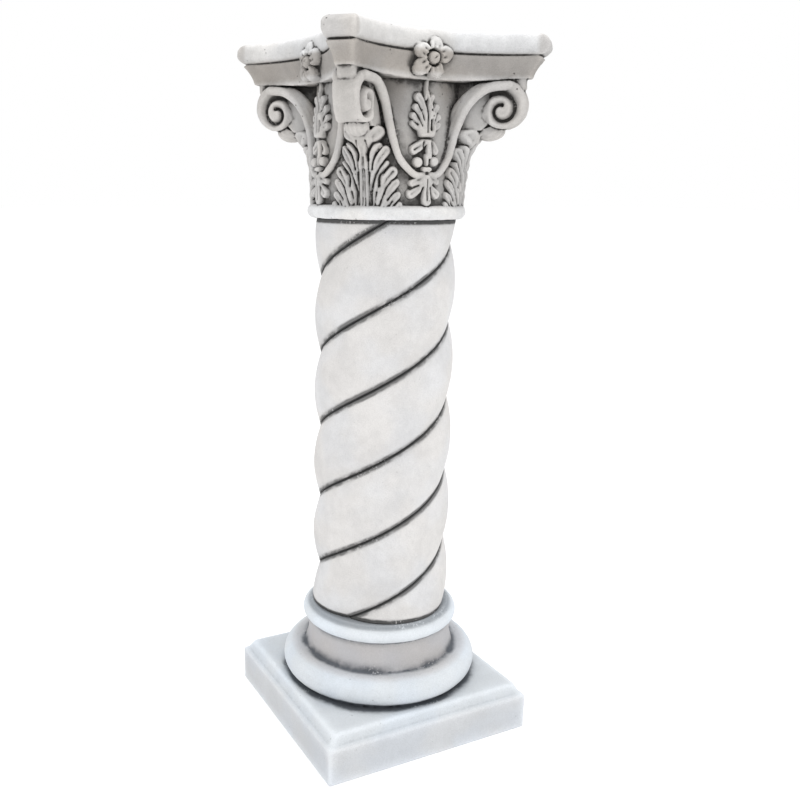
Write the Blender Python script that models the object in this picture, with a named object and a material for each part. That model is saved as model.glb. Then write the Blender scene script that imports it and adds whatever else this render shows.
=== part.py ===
"""Baroque garden column: a square moulded base, a twisted shaft and a carved capital.

Three castings stand on each other by their own weight. The origin is the bottom centre
of the plinth, +Z is up, and the plinth's sides lie along X and Y. Sizes are in millimetres
here and become metres when a mesh is made.
"""

import math

import bmesh
import bpy
from mathutils import Vector

MM = 0.001
SEAT_GAP = 0.3

# Base: plinth, lower roll, neck and upper ring, one casting.
PLINTH_WIDTH = 280.0
PLINTH_FACE_HEIGHT = 46.5
PLINTH_HEIGHT = 60.0
PLINTH_LEDGE = 4.5
PLINTH_TOP_INSET = 11.0
PLINTH_EDGE_ROUNDING = 2.0
ROLL_RADIUS = 125.8
ROLL_HALF_HEIGHT = 18.3
NECK_FOOT_RADIUS = 97.2
NECK_WAIST_RADIUS = 92.0
NECK_HEIGHT = 38.0
RING_TUBE = 8.5
RING_RADIUS = 99.9
COLLAR_HEIGHT = 4.6

# Shaft: three lobes that wind up to the right.
SHAFT_FOOT_RADIUS = 87.6
SHAFT_TOP_RADIUS = 83.3
SHAFT_LENGTH = 481.9
LOBES = 3
TWIST_PITCH = 275.0
TWIST_START_DEG = 7.3
GROOVE_DEPTH_SHARE = 0.105

# Capital: necking ring, bell, leaves, scrolls and the horned top slab, one casting.
ASTRAGAL_TUBE = 7.7
ASTRAGAL_RADIUS = 92.6
BELL_FOOT_RADIUS = 83.5
BELL_TOP_RADIUS = 81.0
CAPITAL_HEIGHT = 192.4
ABACUS_HEIGHT = 43.0
SLAB_HEIGHT = 21.5
HORN_REACH = 139.0
HORN_WIDTH = 32.0
HORN_FOOT_REACH = 120.5
HORN_FOOT_WIDTH = 19.0
SIDE_HOLLOW = 42.4
FOOT_SIDE_HOLLOW = 31.5
SIDE_SAG = 4.3
SCROLL_REACH = 133.0
SCROLL_RADIUS = 25.0
SCROLL_HALF_WIDTH = 14.3
SCROLL_DROP = 26.8
SCROLL_GROOVE_DEPTH = 4.5
SCROLL_GROOVE_WIDTH = 4.2
RIBBON_WIDTH_AT_SCROLL = 9.4
RIBBON_WIDTH_AT_KNOT = 6.0
RIBBON_DEPTH = 8.0
LUG_REACH = 146.0
LUG_RISE = 20.5
LUG_RADIUS = 10.0
LUG_HALF_HEIGHT = 8.0
LEAF_TIP_REACH = 117.5
LEAF_TIP_RISE = 81.0
LEAF_TIP_HALF_WIDTH = 12.5
LEAF_TIP_HALF_LENGTH = 17.5
LEAF_TIP_HALF_HEIGHT = 11.5
FLOWER_RADIUS = 24.5
PETAL_TURNS_DEG = (13.0, 77.0, 150.0, 213.0, 286.0)

ROUND_STEPS = 36
CAPITAL_FACE_SHARE = 0.355

# Heights of the seats, from the ground up.
ROLL_HEIGHT = 2 * ROLL_HALF_HEIGHT
RING_Z = PLINTH_HEIGHT + ROLL_HEIGHT + NECK_HEIGHT + RING_TUBE
BASE_TOP_Z = RING_Z + RING_TUBE + COLLAR_HEIGHT
SHAFT_FOOT_Z = BASE_TOP_Z + SEAT_GAP
SHAFT_TOP_Z = SHAFT_FOOT_Z + SHAFT_LENGTH
CAPITAL_FOOT_Z = SHAFT_TOP_Z + SEAT_GAP

# Heights inside the capital, from its own foot.
BELL_FOOT_Z = 2 * ASTRAGAL_TUBE
ABACUS_FOOT_Z = CAPITAL_HEIGHT - ABACUS_HEIGHT
SLAB_FOOT_Z = CAPITAL_HEIGHT - SLAB_HEIGHT
SCROLL_Z = ABACUS_FOOT_Z - SCROLL_DROP
BELL_HEIGHT = ABACUS_FOOT_Z - BELL_FOOT_Z


def clear_scene():
    for obj in list(bpy.data.objects):
        bpy.data.objects.remove(obj, do_unlink=True)


def stone(name, colour, roughness):
    material = bpy.data.materials.new(name)
    material.use_nodes = True
    shader = material.node_tree.nodes["Principled BSDF"]
    shader.inputs["Base Color"].default_value = (*colour, 1.0)
    shader.inputs["Roughness"].default_value = roughness
    shader.inputs["Metallic"].default_value = 0.0
    return material


def bell_radius(z):
    """Radius of the capital's plain bell at height z."""
    share = min(max((z - BELL_FOOT_Z) / BELL_HEIGHT, 0.0), 1.0)
    return BELL_FOOT_RADIUS + (BELL_TOP_RADIUS - BELL_FOOT_RADIUS) * share


def loft_mesh(name, rings, tip=False, wound=False):
    """A closed mesh through rings of points. A wound one splits its leaning quads the short way."""
    bm = bmesh.new()
    made = [[bm.verts.new(Vector(p) * MM) for p in ring] for ring in rings]
    for low, high in zip(made, made[1:]):
        count = len(low)
        for i in range(count):
            j = (i + 1) % count
            if wound:
                bm.faces.new((low[i], low[j], high[i]))
                bm.faces.new((low[j], high[j], high[i]))
            else:
                bm.faces.new((low[i], low[j], high[j], high[i]))
    bm.faces.new(list(reversed(made[0])))
    last = made[-1]
    if tip:
        centre = sum((v.co for v in last), Vector()) / len(last)
        before = sum((v.co for v in made[-2]), Vector()) / len(last)
        point = bm.verts.new(centre + (centre - before) * 0.45)
        for i in range(len(last)):
            bm.faces.new((last[i], last[(i + 1) % len(last)], point))
    else:
        bm.faces.new(last)
    bmesh.ops.recalc_face_normals(bm, faces=bm.faces)
    mesh = bpy.data.meshes.new(name)
    bm.to_mesh(mesh)
    bm.free()
    return mesh


def place(mesh, name, turn_deg=0.0):
    obj = bpy.data.objects.new(name, mesh)
    obj.rotation_euler.z = math.radians(turn_deg)
    bpy.context.scene.collection.objects.link(obj)
    return obj


def square_ring(half, z, rounding):
    """A square with cut corners, anticlockwise from above."""
    near = half - rounding
    corners = [(near, -half), (half, -near), (half, near), (near, half)]
    corners += [(-near, half), (-half, near), (-half, -near), (-near, -half)]
    return [(x, y, z) for x, y in corners]


def circle_ring(radius, z, steps=ROUND_STEPS):
    turns = [2 * math.pi * i / steps for i in range(steps)]
    return [(radius * math.cos(a), radius * math.sin(a), z) for a in turns]


def roll_profile(outer_radius, tube, centre_z, steps):
    """Points of a half-round moulding from its foot to its top, as (radius, z)."""
    points = []
    for i in range(steps + 1):
        a = -math.pi / 2 + math.pi * i / steps
        points.append((outer_radius - tube + tube * math.cos(a), centre_z + tube * math.sin(a)))
    return points


def make_base(material):
    half = PLINTH_WIDTH / 2
    rounding = PLINTH_EDGE_ROUNDING
    levels = [
        (half, 0.0),
        (half, PLINTH_FACE_HEIGHT - rounding),
        (half - rounding, PLINTH_FACE_HEIGHT),
        (half - PLINTH_LEDGE, PLINTH_FACE_HEIGHT + 1.0),
        (half - PLINTH_TOP_INSET + 1.5, PLINTH_HEIGHT - rounding),
        (half - PLINTH_TOP_INSET - 1.0, PLINTH_HEIGHT),
    ]
    plinth = loft_mesh("plinth", [square_ring(h, z, rounding) for h, z in levels])
    roll_z = PLINTH_HEIGHT + ROLL_HALF_HEIGHT
    neck_foot_z = PLINTH_HEIGHT + ROLL_HEIGHT
    profile = [(ROLL_RADIUS - ROLL_HALF_HEIGHT, PLINTH_HEIGHT - 2 * rounding)]
    profile += roll_profile(ROLL_RADIUS, ROLL_HALF_HEIGHT, roll_z, 7)
    for share in (0.04, 0.25, 0.55, 0.96):
        flare = (1 - share) ** 2.2
        radius = NECK_WAIST_RADIUS + (NECK_FOOT_RADIUS - NECK_WAIST_RADIUS) * flare
        profile.append((radius, neck_foot_z + NECK_HEIGHT * share))
    profile += roll_profile(RING_RADIUS, RING_TUBE, RING_Z, 6)[1:]
    profile.append((SHAFT_FOOT_RADIUS + 1.2, BASE_TOP_Z))
    turned = loft_mesh("turned_base", [circle_ring(r, z) for r, z in profile])
    base = place(plinth, "base")
    union_with(base, [place(turned, "turned_part_of_base")])
    finish(base, material)
    return base


def lobed_radius(angle, radius):
    """Three round lobes that meet in sharp grooves."""
    sector = 2 * math.pi / LOBES
    across = (angle + sector / 2) % sector - sector / 2
    offset = 1.65 * GROOVE_DEPTH_SHARE * radius
    lobe = radius - offset
    return offset * math.cos(across) + math.sqrt(lobe ** 2 - (offset * math.sin(across)) ** 2)


def make_shaft(material):
    steps = 9 * LOBES
    levels = 34
    rings = []
    for level in range(levels + 1):
        share = level / levels
        z = SHAFT_FOOT_Z + SHAFT_LENGTH * share
        radius = SHAFT_FOOT_RADIUS + (SHAFT_TOP_RADIUS - SHAFT_FOOT_RADIUS) * share
        groove = math.radians(TWIST_START_DEG) + 2 * math.pi * z / TWIST_PITCH
        crest = groove + math.pi / LOBES
        ring = []
        for i in range(steps):
            a = 2 * math.pi * i / steps + math.pi / LOBES
            reach = lobed_radius(a, radius)
            ring.append((reach * math.cos(a + crest), reach * math.sin(a + crest), z))
        rings.append(ring)
    shaft = place(loft_mesh("twisted_shaft", rings, wound=True), "twisted_shaft")
    finish(shaft, material)
    return shaft


def abacus_ring(reach, horn_width, hollow, z, sag=0.0, side_steps=8):
    """Outline with four hollow sides that sag in their middles and four cut horns, anticlockwise."""
    half = reach - horn_width / math.sqrt(2)
    curve = (half ** 2 + hollow ** 2) / (2 * hollow)
    ring = []
    for quarter in range(4):
        turn = math.pi / 2 * quarter
        for i in range(side_steps + 1):
            x = half * (2 * i / side_steps - 1)
            y = -reach + hollow - (curve - math.sqrt(curve ** 2 - x ** 2))
            drop = sag * (1 - (x / half) ** 2)
            ring.append((x * math.cos(turn) - y * math.sin(turn), x * math.sin(turn) + y * math.cos(turn), z - drop))
    return ring


def abacus_mesh():
    rise = SLAB_FOOT_Z - ABACUS_FOOT_Z
    spread = HORN_REACH - HORN_FOOT_REACH
    widen = HORN_WIDTH - HORN_FOOT_WIDTH
    levels = []
    for share, out in ((0.0, 0.0), (0.35, 0.1), (0.7, 0.5), (0.97, 0.97)):
        hollow = FOOT_SIDE_HOLLOW + (SIDE_HOLLOW - FOOT_SIDE_HOLLOW) * share
        sag = SIDE_SAG * (1 - share)
        levels.append((HORN_FOOT_REACH + spread * out, HORN_FOOT_WIDTH + widen * out, hollow, rise * share, sag))
    levels.append((HORN_REACH - 3.0, HORN_WIDTH, SIDE_HOLLOW, rise, 0.0))
    levels.append((HORN_REACH, HORN_WIDTH + 4.0, SIDE_HOLLOW, rise + 1.8, 0.0))
    levels.append((HORN_REACH + 0.3, HORN_WIDTH + 7.0, SIDE_HOLLOW, rise + SLAB_HEIGHT * 0.55, 0.0))
    levels.append((HORN_REACH - 2.5, HORN_WIDTH + 2.0, SIDE_HOLLOW, rise + SLAB_HEIGHT * 0.9, 0.0))
    levels.append((HORN_REACH - 7.0, HORN_WIDTH, SIDE_HOLLOW, rise + SLAB_HEIGHT, 0.0))
    rings = [abacus_ring(a, w, s, ABACUS_FOOT_Z + h, sag) for a, w, s, h, sag in levels]
    return loft_mesh("abacus", rings)


def scroll_point(angle_deg, radius, across):
    """A point of a scroll, in (across, outward, z); 0 degrees is outward, 90 is up."""
    a = math.radians(angle_deg)
    return (across, SCROLL_REACH + radius * math.cos(a), SCROLL_Z + radius * math.sin(a))


def outward(point):
    """From (across, outward, z), seen from outside the column, to the frame of the -Y side."""
    across, out, z = point
    return (across, -out, z)


def scroll_mesh():
    """The roll of a volute: a disc on its edge, with a spiral groove cut in both faces."""
    steps = 28
    half = SCROLL_HALF_WIDTH
    rings = []
    for across, radius in ((-half, 1.5), (-half + 1.5, 0.0), (half - 1.5, 0.0), (half, 1.5)):
        angles = [360 * i / steps for i in range(steps)]
        rings.append([outward(scroll_point(a, SCROLL_RADIUS - radius, across)) for a in angles])
    return loft_mesh("scroll", rings)


def groove_mesh(side):
    """The spiral channel of one scroll face, wound round an eye that lies below the centre."""
    eye_out, eye_up = -1.5, -6.6
    outer, decay = 18.2, 0.185
    rings = []
    for turned in range(-64, 366, 26):
        a = math.radians(90 - turned)
        radius = outer * math.exp(-decay * math.radians(turned))
        half = 0.5 * SCROLL_GROOVE_WIDTH * (0.62 + 0.38 * radius / outer)
        ring = []
        for r, depth in ((-half, -2.0), (half, -2.0), (0.6 * half, SCROLL_GROOVE_DEPTH), (-0.6 * half, SCROLL_GROOVE_DEPTH)):
            reach = radius + r
            out = SCROLL_REACH + eye_out + reach * math.cos(a)
            up = SCROLL_Z + eye_up + reach * math.sin(a)
            ring.append(outward((side * (SCROLL_HALF_WIDTH - depth), out, up)))
        rings.append(ring)
    return loft_mesh("scroll_groove", rings)


def swept_mesh(name, stations, sides=6, tip=False):
    """A tube through stations of (centre, facing, half_width, half_depth), in the -Y side's frame."""
    centres = [Vector(outward(s[0])) for s in stations]
    rings = []
    for i, (_, facing, half_width, half_depth) in enumerate(stations):
        along = (centres[min(i + 1, len(centres) - 1)] - centres[max(i - 1, 0)]).normalized()
        face = Vector(outward(facing))
        face = (face - along * face.dot(along)).normalized()
        side = face.cross(along)
        ring = []
        for k in range(sides):
            a = 2 * math.pi * k / sides
            ring.append(centres[i] + side * (half_width * math.cos(a)) + face * (half_depth * math.sin(a)))
        rings.append(ring)
    return loft_mesh(name, rings, tip)


def ball_mesh(name, centre, radii, steps=8):
    """An ellipsoid at (across, outward, z) with its three half sizes."""
    levels = 5
    rings = []
    for i in range(1, levels):
        a = math.pi * i / levels - math.pi / 2
        ring = []
        for k in range(steps):
            b = 2 * math.pi * k / steps
            spot = (
                centre[0] + radii[0] * math.cos(a) * math.cos(b),
                centre[1] + radii[1] * math.cos(a) * math.sin(b),
                centre[2] + radii[2] * math.sin(a),
            )
            ring.append(outward(spot))
        rings.append(ring)
    return loft_mesh(name, rings)


def lobe_mesh(name, root, end, half_width, half_depth, facing=(0.0, 1.0, 0.0)):
    """A round-ended leaf lobe from its root to its end, both (across, outward, z)."""
    root, end = Vector(root), Vector(end)
    stations = []
    for share, width in ((0.0, 0.45), (0.45, 0.8), (0.8, 1.0), (0.96, 0.62)):
        stations.append((root.lerp(end, share), facing, half_width * width, half_depth * width))
    return swept_mesh(name, stations, tip=True)


def leaf_reach(z):
    """How far the acanthus leaf stands out along the diagonal at height z."""
    rise = z - BELL_FOOT_Z
    curl = max(rise - 36.0, 0.0)
    return BELL_FOOT_RADIUS + 4.6 + 0.1 * rise + 0.0125 * curl ** 2


def leaf_surface(across, z):
    """Outward place of the leaf's surface: full on the diagonal, down to the bell at its sides."""
    spread = min(abs(across) / 42.0, 1.0) ** 2
    bell = math.sqrt(max((bell_radius(z) + 3.0) ** 2 - across ** 2, 0.0))
    return leaf_reach(z) * (1 - spread) + bell * spread


def leaf_meshes():
    """The acanthus leaf under a scroll: its body, its curled tip and its lobes."""
    meshes = []
    rings = []
    for rise, half in ((-3.0, 27.0), (12.0, 24.0), (30.0, 20.0), (48.0, 15.0), (60.0, 12.5), (72.0, 12.0)):
        z = BELL_FOOT_Z + rise
        shares = (-1.0, -0.55, -0.2, 0.2, 0.55, 1.0)
        front = [(half * s, leaf_surface(half * s, z) - 2.0 * abs(s) ** 3, z) for s in shares]
        back = [(half * 0.9, 66.0, z), (-half * 0.9, 66.0, z)]
        rings.append([outward(p) for p in front + back])
    meshes.append(loft_mesh("leaf_body", rings))
    tip = (0.0, LEAF_TIP_REACH, BELL_FOOT_Z + LEAF_TIP_RISE)
    tip_size = (LEAF_TIP_HALF_WIDTH, LEAF_TIP_HALF_LENGTH, LEAF_TIP_HALF_HEIGHT)
    meshes.append(ball_mesh("leaf_tip", tip, tip_size, steps=10))
    lobes = (
        ((6.0, 42.0), (16.0, 80.0), 5.0),
        ((7.0, 34.0), (14.5, 63.0), 3.2),
        ((8.5, 24.0), (24.0, 60.0), 4.2),
        ((10.0, 15.0), (24.0, 46.0), 4.0),
        ((13.0, 8.0), (32.0, 38.0), 4.6),
        ((16.0, 0.0), (35.5, 25.0), 4.6),
        ((21.0, -3.0), (29.0, 11.0), 4.0),
    )
    for side in (-1, 1):
        for (root_t, root_up), (end_t, end_up), half in lobes:
            root_z, end_z = BELL_FOOT_Z + root_up, BELL_FOOT_Z + end_up
            root = (side * root_t, leaf_surface(root_t, root_z) - 1.0, root_z)
            end = (side * end_t, leaf_surface(end_t, min(end_z, BELL_FOOT_Z + 62.0)) + 0.5, end_z)
            lean = (side * end_t / 70.0, 1.0, 0.0)
            meshes.append(lobe_mesh("leaf_lobe", root, end, half, 4.2, lean))
        vein = [(side * 4.5, leaf_surface(4.5, BELL_FOOT_Z + up) + 0.6, BELL_FOOT_Z + up) for up in (-3, 20, 42, 62)]
        meshes.append(swept_mesh("leaf_rib", [(p, (0.0, 1.0, 0.0), 2.6, 2.6) for p in vein]))
    return meshes


def ribbon_mesh(side):
    """The band that leaves the scroll and sweeps down the bell to the knot on the face's middle."""
    stations = []
    low = ((4.0, 0.8, 34.0), (8.5, 2.4, 31.0), (12.5, 3.0, 37.0), (17.0, 3.7, 46.5), (22.0, 4.7, 57.5))
    low += ((27.0, 6.0, 70.0), (32.0, 8.2, 83.5))
    for angle, proud, up in low:
        z = BELL_FOOT_Z + up
        radius = bell_radius(z) + proud
        a = math.radians(angle)
        spot = (side * radius * math.sin(a), radius * math.cos(a), z)
        stations.append((spot, (side * math.sin(a), math.cos(a), 0.0)))
    band = SCROLL_RADIUS - RIBBON_WIDTH_AT_SCROLL / 2
    inset = SCROLL_HALF_WIDTH - RIBBON_DEPTH / 2 - 0.2
    diagonal = math.sqrt(0.5)
    rolls = ((-38.0, -9.3), (-31.0, 2.5), (-23.0, 12.0), (-13.0, math.sqrt(band ** 2 - 13.0 ** 2)), (-2.0, band - 0.6))
    for along, up in rolls:
        reach = SCROLL_REACH + along
        spot = ((reach - inset) * diagonal * side, (reach + inset) * diagonal, SCROLL_Z + up)
        stations.append((spot, (-side * diagonal, diagonal, 0.0)))
    full = []
    count = len(stations) - 1
    for i, (spot, facing) in enumerate(stations):
        width = RIBBON_WIDTH_AT_KNOT + (RIBBON_WIDTH_AT_SCROLL - RIBBON_WIDTH_AT_KNOT) * min(1.3 * i / count, 1.0)
        depth = 0.5 * RIBBON_DEPTH * (0.6 + 0.4 * min(1.6 * i / count, 1.0))
        full.append((spot, facing, width / 2, depth))
    return swept_mesh("ribbon", full)


def flower_meshes():
    """Five round petals and a boss in the middle of each hollow side of the top slab."""
    middle_z = SLAB_FOOT_Z - 4.5
    face = HORN_REACH - SIDE_HOLLOW
    meshes = [ball_mesh("flower_boss", (0.0, face + 2.0, middle_z), (6.5, 7.5, 5.5))]
    petal = 0.42 * FLOWER_RADIUS
    for turn in PETAL_TURNS_DEG:
        a = math.radians(turn)
        out = FLOWER_RADIUS - petal
        centre = (out * math.cos(a), face + 0.5, middle_z + 0.92 * out * math.sin(a))
        meshes.append(ball_mesh("petal", centre, (petal, 5.5, petal)))
    return meshes


def garland_meshes():
    """The pendant on the middle of each side: stem, hanging leaf, bell flower, balls, knot, palmette."""
    def on_bell(across, up, proud):
        z = BELL_FOOT_Z + up
        return (across, math.sqrt(bell_radius(z) ** 2 - across ** 2) + proud, z)

    front = (0.0, 1.0, 0.0)
    stem = [(on_bell(0.0, up, 0.5), front, 2.8, 4.5) for up in (100.0, 140.0)]
    meshes = [swept_mesh("stem", stem)]
    meshes.append(ball_mesh("hanging_leaf", on_bell(0.0, 88.0, 2.0), (12.5, 9.0, 17.0)))
    leaf_lobes = (((3.0, 92.0), (15.5, 103.0), 3.8), ((2.0, 96.0), (10.5, 117.0), 4.2), ((5.0, 84.0), (15.5, 93.0), 3.4))
    bell_lobes = (((1.0, 71.0), (15.0, 56.0), 4.4), ((0.5, 71.0), (5.0, 54.0), 3.6))
    palm_lobes = (((1.5, 32.0), (17.0, 27.0), 3.4), ((2.0, 28.0), (21.0, 13.5), 4.6))
    for group in (leaf_lobes, bell_lobes, palm_lobes):
        for (root_t, root_up), (end_t, end_up), half in group:
            for side in (-1, 1):
                root = on_bell(side * root_t, root_up, 1.5)
                end = on_bell(side * end_t, end_up, 1.5)
                meshes.append(lobe_mesh("garland_lobe", root, end, half, 4.6))
    for side in (-1, 1):
        meshes.append(ball_mesh("ball", on_bell(side * 9.3, 46.0, 2.2), (5.6, 5.6, 5.6)))
    meshes.append(ball_mesh("knot", on_bell(0.0, 38.5, 2.5), (6.0, 5.0, 3.8)))
    meshes.append(lobe_mesh("palmette_tip", on_bell(0.0, 33.0, 1.0), on_bell(0.0, 3.0, 2.5), 5.5, 4.6))
    return meshes


def union_with(body, parts):
    """Joins closed shapes to a body, as one skin. They move with it."""
    joined = bpy.data.collections.new(body.name + "_shapes")
    bpy.context.scene.collection.children.link(joined)
    for part in parts:
        for owner in list(part.users_collection):
            owner.objects.unlink(part)
        joined.objects.link(part)
        part.parent = body
        part.hide_render = True
        part.display_type = "WIRE"
    union = body.modifiers.new("join", "BOOLEAN")
    union.operation = "UNION"
    union.operand_type = "COLLECTION"
    union.collection = joined
    union.solver = "EXACT"


def cut_from(body, cutter):
    cut = body.modifiers.new("groove", "BOOLEAN")
    cut.operation = "DIFFERENCE"
    cut.object = cutter
    cut.solver = "EXACT"
    cutter.parent = body
    cutter.hide_render = True
    cutter.display_type = "WIRE"


def thin_out(body, share):
    """Keeps this share of the faces, taking them first from where the skin is flattest."""
    fewer = body.modifiers.new("thin out", "DECIMATE")
    fewer.decimate_type = "COLLAPSE"
    fewer.ratio = share


def finish(obj, material):
    obj.data.materials.clear()
    obj.data.materials.append(material)
    obj.data.shade_smooth()
    obj.data.set_sharp_from_angle(angle=math.radians(35))


def bell_mesh():
    profile = roll_profile(ASTRAGAL_RADIUS, ASTRAGAL_TUBE, ASTRAGAL_TUBE, 6)
    profile.append((bell_radius(BELL_FOOT_Z), BELL_FOOT_Z + 0.8))
    profile.append((bell_radius(ABACUS_FOOT_Z), ABACUS_FOOT_Z))
    profile.append((bell_radius(ABACUS_FOOT_Z), ABACUS_FOOT_Z + 12.0))
    return loft_mesh("bell", [circle_ring(r, z) for r, z in profile])


def make_capital(material):
    capital = place(bell_mesh(), "capital")
    parts = [place(abacus_mesh(), "abacus")]
    corner = [scroll_mesh()]
    lug_size = (LUG_RADIUS, LUG_RADIUS, LUG_HALF_HEIGHT)
    corner.append(ball_mesh("lug", (0.0, LUG_REACH, SCROLL_Z + LUG_RISE), lug_size))
    web = []
    for out, low, high in ((74.0, -40.0, 24.0), (100.0, -38.0, 25.0), (124.0, -14.0, 22.0)):
        half = 9.0
        web.append([outward(p) for p in ((-half, out, SCROLL_Z + low), (half, out, SCROLL_Z + low),
                                         (half, out, SCROLL_Z + high), (-half, out, SCROLL_Z + high))])
    corner.append(loft_mesh("scroll_web", web))
    corner += leaf_meshes()
    side = [ribbon_mesh(-1), ribbon_mesh(1)] + flower_meshes() + garland_meshes()
    grooves = [groove_mesh(-1), groove_mesh(1)]
    for quarter in range(4):
        turn = 90.0 * quarter
        parts += [place(mesh, mesh.name, turn + 45.0) for mesh in corner]
        parts += [place(mesh, mesh.name, turn) for mesh in side]
    union_with(capital, parts)
    for quarter in range(4):
        for groove in grooves:
            cut_from(capital, place(groove, groove.name, 90.0 * quarter + 45.0))
    thin_out(capital, CAPITAL_FACE_SHARE)
    capital.location.z = CAPITAL_FOOT_Z * MM
    finish(capital, material)
    return capital


def main():
    clear_scene()
    make_base(stone("cast_stone_base", (0.72, 0.72, 0.71), 0.85))
    make_shaft(stone("cast_stone_shaft", (0.70, 0.70, 0.68), 0.8))
    make_capital(stone("cast_stone_capital", (0.62, 0.61, 0.58), 0.88))


main()
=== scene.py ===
"""Looks of the baroque garden column: three castings of pale stone, washed dark in their creases, with
painted shade in their recesses.

The CAD parts give every size and place. Each piece here is worked out in millimetres around
them and becomes a mesh in metres, in the same frame, with the ground at z = 0 and +Z up.
"""

import math

import bpy
import numpy as np
import openvdb
from mathutils import Matrix, Vector


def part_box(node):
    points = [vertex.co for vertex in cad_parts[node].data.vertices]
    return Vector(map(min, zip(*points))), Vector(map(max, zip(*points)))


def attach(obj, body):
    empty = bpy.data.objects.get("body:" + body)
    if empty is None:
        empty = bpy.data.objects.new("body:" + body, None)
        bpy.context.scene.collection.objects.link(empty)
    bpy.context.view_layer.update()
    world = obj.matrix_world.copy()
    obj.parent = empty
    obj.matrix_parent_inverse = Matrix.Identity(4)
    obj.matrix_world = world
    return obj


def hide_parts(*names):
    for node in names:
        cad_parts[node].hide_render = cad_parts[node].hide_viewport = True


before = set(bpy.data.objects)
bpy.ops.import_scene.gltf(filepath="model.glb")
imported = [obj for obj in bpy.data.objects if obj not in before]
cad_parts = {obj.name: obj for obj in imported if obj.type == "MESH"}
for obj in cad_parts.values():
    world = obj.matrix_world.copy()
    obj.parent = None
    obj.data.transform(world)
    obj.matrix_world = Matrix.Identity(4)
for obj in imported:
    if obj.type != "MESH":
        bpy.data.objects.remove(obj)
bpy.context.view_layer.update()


# Base
# The foot of the column is one heavy casting: a square plinth with a washed-out upper
# ledge, a fat roll, a short neck and a thin ring. It is cast stone with worn edges, and
# grey dirt sits where the roll, the neck and the ring meet, with painted shade spread
# around these creases.

def quarter_grid(half_width, low_z, high_z, step):
    """Coordinates in mm of the quarter x > 0, y < 0, whose points lie half a step off both axes."""
    count = math.ceil(half_width / step) + 2
    across = ((np.arange(count) + 0.5) * step).astype(np.float32)
    up = np.arange(low_z - 2 * step, high_z + 2.5 * step, step, dtype=np.float32)
    return across[:, None, None], -across[::-1][None, :, None], up[None, None, :]


def four_quarters(quarter):
    """The whole field, with the quarter turned about the column's axis into each of its places."""
    count = quarter.shape[0]
    full = np.empty((2 * count, 2 * count, quarter.shape[2]), np.float32)
    full[count:, :count] = quarter
    full[count:, count:] = np.rot90(quarter, 1)
    full[:count, count:] = np.rot90(quarter, 2)
    full[:count, :count] = np.rot90(quarter, 3)
    return full


def round_max(a, b, soft):
    """The larger of two distances, with the edge between them rounded over `soft` mm."""
    mix = np.clip(0.5 + 0.5 * (a - b) / soft, 0, 1)
    return b + (a - b) * mix + soft * mix * (1 - mix)


def round_min(a, b, soft):
    """The smaller of two distances, with a fillet of about `soft` mm where they meet."""
    return -round_max(-a, -b, soft)


def rough_field(shape, pitch, seed):
    """Smooth random values from -1 to 1 that change over `pitch` grid steps."""
    values = np.random.default_rng(seed).uniform(-1, 1, [math.ceil(n / pitch) + 2 for n in shape])
    values = values.astype(np.float32)
    for axis, length in enumerate(shape):
        place = np.arange(length) / pitch
        start = place.astype(int)
        share = place - start
        share = (share * share * (3 - 2 * share)).astype(np.float32)
        share = share.reshape([-1 if a == axis else 1 for a in range(3)])
        values = np.take(values, start, axis) * (1 - share) + np.take(values, start + 1, axis) * share
    return values


def blurred(volume, radius):
    """The volume averaged twice over a box of `radius` steps to each side."""
    width = 2 * radius + 1
    for axis in range(3):
        for before, after in ((width, 2 * radius), (1, 0)):
            padding = [(0, 0)] * 3
            padding[axis] = (before, after)
            total = np.cumsum(np.pad(volume, padding, mode="edge"), axis=axis, dtype=np.float32)
            length = total.shape[axis]
            ahead = np.take(total, np.arange(width, length), axis)
            behind = np.take(total, np.arange(length - width), axis)
            volume = (ahead - behind) / width
    return volume


def moulding(from_axis, z, reach, tube, middle_z):
    """Distance to a round moulding that stands out to `reach`, with everything inside it filled."""
    return np.hypot(np.maximum(from_axis - (reach - tube), 0), z - middle_z) - tube


def sampled(volume, places):
    """Values of the volume at places given in grid steps, blended between its points."""
    start = np.clip(places.astype(int), 0, np.array(volume.shape) - 2)
    share = np.clip(places - start, 0, 1)
    result = np.zeros(len(places))
    for corner in np.ndindex(2, 2, 2):
        weight = np.prod(np.where(corner, share, 1 - share), axis=1)
        i, j, k = (start + corner).T
        result += weight * volume[i, j, k]
    return result


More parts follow.
